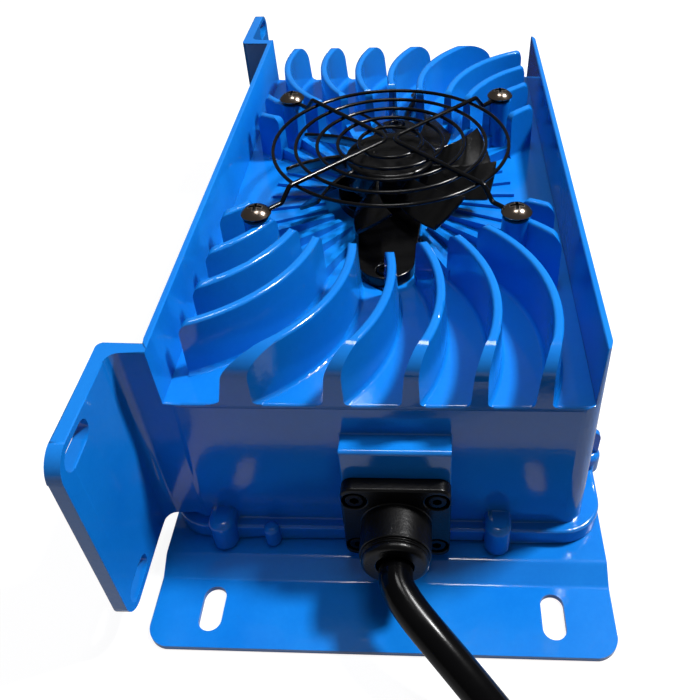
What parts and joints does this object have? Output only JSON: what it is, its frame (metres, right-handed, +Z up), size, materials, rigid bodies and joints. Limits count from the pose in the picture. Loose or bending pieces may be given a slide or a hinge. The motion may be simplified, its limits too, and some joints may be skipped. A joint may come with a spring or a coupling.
{
  "type": "battery charger",
  "caption": "Sealed lithium battery charger: blue finned die casting with a guarded fan on top, hanging ears, a stepped foot plate and a round input cord.",
  "frame": {"origin": "centre of the bounding box in plan, on the plane the feet stand on; the cord isn't counted", "axes": "+Z up through the fan, -Y out of the input end, +X away from the hanging ears"},
  "size_m": [0.214, 0.4454, 0.0883],
  "materials": {
    "cast_blue": "satin blue paint on a die casting",
    "plate_blue": "satin blue paint on sheet",
    "gasket_rubber": "soft black rubber",
    "zinc_steel": "zinc plated",
    "black_plastic": "fine-grained black moulding",
    "black_screw": "black oxide",
    "fan_black": "grained black moulding",
    "fan_steel": "ground steel",
    "board_green": "solder resist",
    "copper": "varnished copper wire",
    "magnet": "dark ferrite",
    "guard_black": "glossy black coat on wire",
    "bronze_screw": "dark bronze plating",
    "lead_black": "insulated wire",
    "cord_black": "smooth black jacket",
    "plug_black": "moulded black",
    "pin_brass": "polished pins",
    "film": "thin film and pad",
    "component_box": "boxed components",
    "component_black": "moulded packages",
    "can": "sleeved cans",
    "bar_aluminium": "plain aluminium",
    "terminal_green": "green blocks"
  },
  "bodies": {
    "charger": {"housing": "cast_blue", "base_plate": "plate_blue", "base_gasket": "gasket_rubber", "input_gland_seal": "gasket_rubber", "output_gland_seal": "gasket_rubber", "lead_grommet": "gasket_rubber", "base_screws": "zinc_steel", "board_screws": "zinc_steel", "input_gland": "black_plastic", "input_gland_cap": "black_plastic", "output_gland": "black_plastic", "output_gland_cap": "black_plastic", "input_gland_screws": "black_screw", "output_gland_screws": "black_screw", "fan_mount": "fan_black", "fan_mount_screws": "fan_steel", "fan_bearings": "fan_steel", "fan_motor_board": "board_green", "main_board": "board_green", "fan_stator": "copper", "emi_choke": "copper", "pfc_choke": "copper", "output_choke": "copper", "transformer_winding": "copper", "transformer_core": "magnet", "finger_guard": "guard_black", "guard_screws": "bronze_screw", "fan_lead": "lead_black", "input_leads": "lead_black", "output_leads": "lead_black", "power_cord": "cord_black", "cord_coil": "cord_black", "cord_tie": "cord_black", "mains_plug": "plug_black", "plug_pins": "pin_brass", "insulation_sheet": "film", "thermal_pad": "film", "film_capacitor": "component_box", "relay": "component_box", "fan_connector": "component_box", "fuse": "component_box", "bridge_rectifier": "component_black", "power_transistors": "component_black", "bulk_capacitors": "can", "output_capacitors": "can", "heat_spreader": "bar_aluminium", "input_terminal": "terminal_green", "output_terminal": "terminal_green"},
    "fan": {"fan_impeller": "fan_black", "fan_shaft": "fan_steel", "fan_magnet": "magnet"}
  },
  "joints": [
    {"name": "fan_spin", "type": "hinge", "parent": "charger", "child": "fan", "pos_m": [0.0014, 0, 0.076], "axis": [0, 0, 1], "continuous": true}
  ]
}
